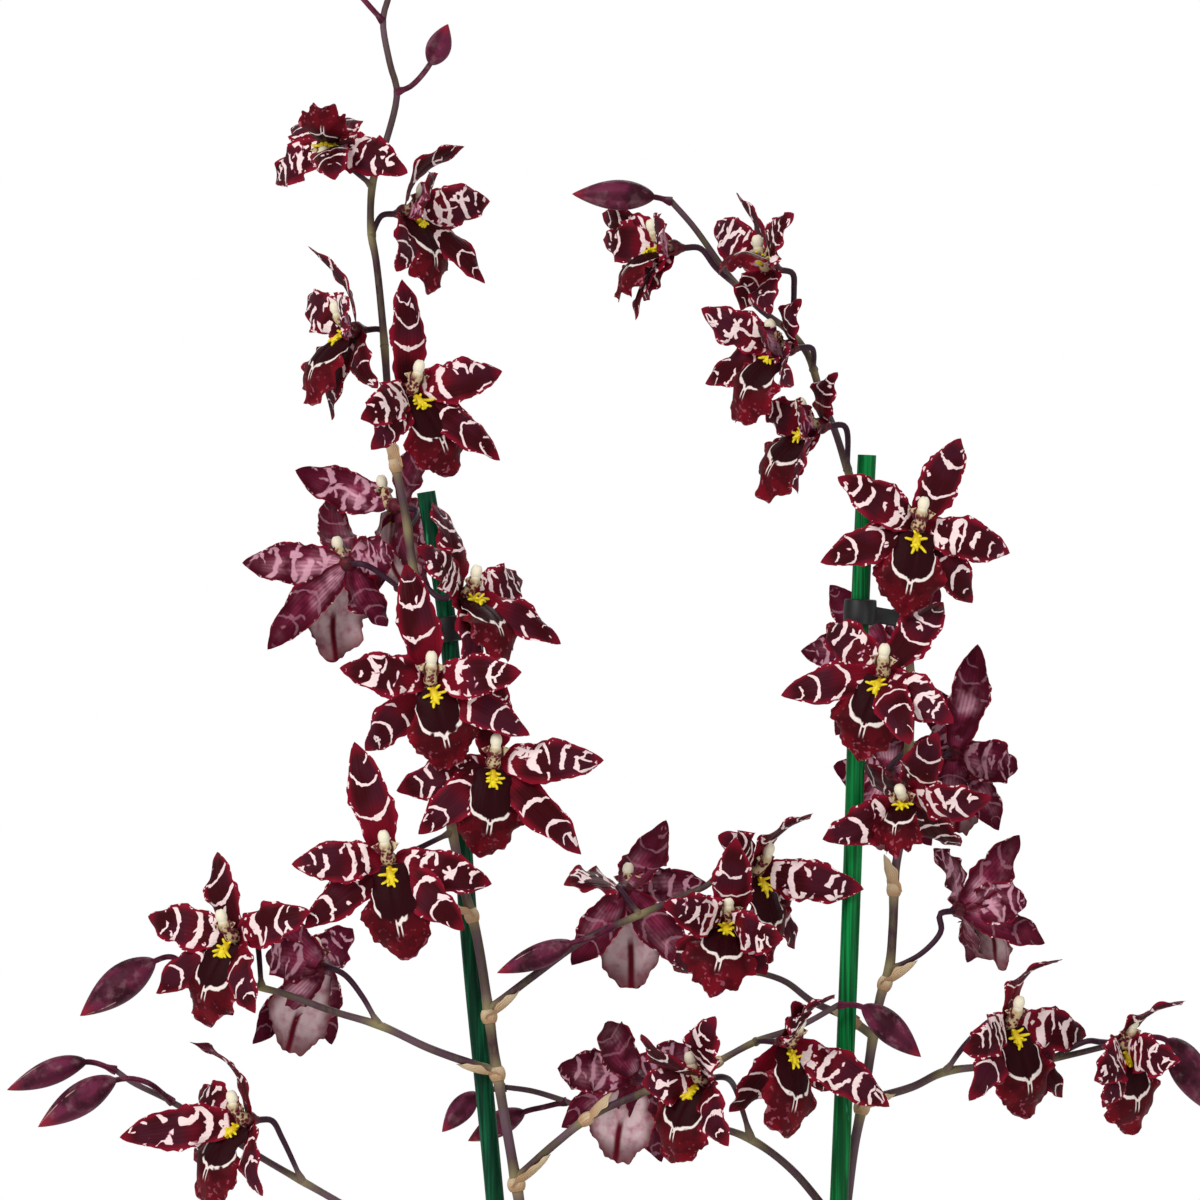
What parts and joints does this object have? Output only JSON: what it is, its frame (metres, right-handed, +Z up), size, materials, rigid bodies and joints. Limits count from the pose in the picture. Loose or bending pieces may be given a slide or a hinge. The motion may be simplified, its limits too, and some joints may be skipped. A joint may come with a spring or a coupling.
{
  "type": "potted odontoglossum orchid",
  "caption": "Flowering odontoglossum orchid in a round plastic pot, its tall branched spikes of maroon star-shaped blooms clipped to green canes.",
  "frame": {"origin": "centre of the pot's flat underside, on the surface that the pot stands on", "axes": "+Z up along the pot's axis, -Y the front that the picture shows, +X to the viewer's right"},
  "size_m": [0.4217, 0.2387, 0.8114],
  "materials": {
    "pot_plastic": "dark moulded plastic, slightly rough",
    "bark": "coarse brown bark chips, matt",
    "pseudobulb": "smooth green plant tissue, faintly ribbed",
    "leaf": "thin leathery green leaf, satin",
    "stake_coating": "dark green glossy coating with fine lengthwise streaks",
    "clip_plastic": "black moulded plastic",
    "spike": "purplish brown stem with green nodes and tan papery bracts",
    "bloom": "velvety deep maroon petal tissue with pale arcs and blotches"
  },
  "bodies": {
    "root": {"pot": "pot_plastic", "bark_mix": "bark", "pseudobulbs": "pseudobulb", "leaf_01": "leaf", "leaf_02": "leaf", "leaf_03": "leaf", "leaf_04": "leaf", "leaf_05": "leaf", "leaf_06": "leaf", "leaf_07": "leaf", "leaf_08": "leaf", "stake_left": "stake_coating", "spike_left": "spike", "clip_left": "clip_plastic", "stake_right": "stake_coating", "spike_right": "spike", "clip_right": "clip_plastic", "bloom_left_01": "bloom", "bloom_left_02": "bloom", "bloom_left_03": "bloom", "bloom_left_04": "bloom", "bloom_left_05": "bloom", "bloom_left_06": "bloom", "bloom_left_07": "bloom", "bloom_left_08": "bloom", "bloom_left_09": "bloom", "bloom_left_10": "bloom", "bloom_branch_01": "bloom", "bloom_branch_02": "bloom", "bloom_branch_03": "bloom", "bloom_branch_04": "bloom", "bloom_branch_05": "bloom", "bloom_branch_06": "bloom", "bloom_branch_07": "bloom", "bloom_branch_08": "bloom", "bloom_branch_09": "bloom", "bloom_branch_10": "bloom", "bloom_branch_11": "bloom", "bloom_right_01": "bloom", "bloom_right_02": "bloom", "bloom_right_03": "bloom", "bloom_right_04": "bloom", "bloom_right_05": "bloom", "bloom_right_06": "bloom", "bloom_right_07": "bloom", "bloom_right_08": "bloom", "bloom_right_09": "bloom", "bloom_right_10": "bloom", "bloom_right_11": "bloom"}
  },
  "joints": []
}
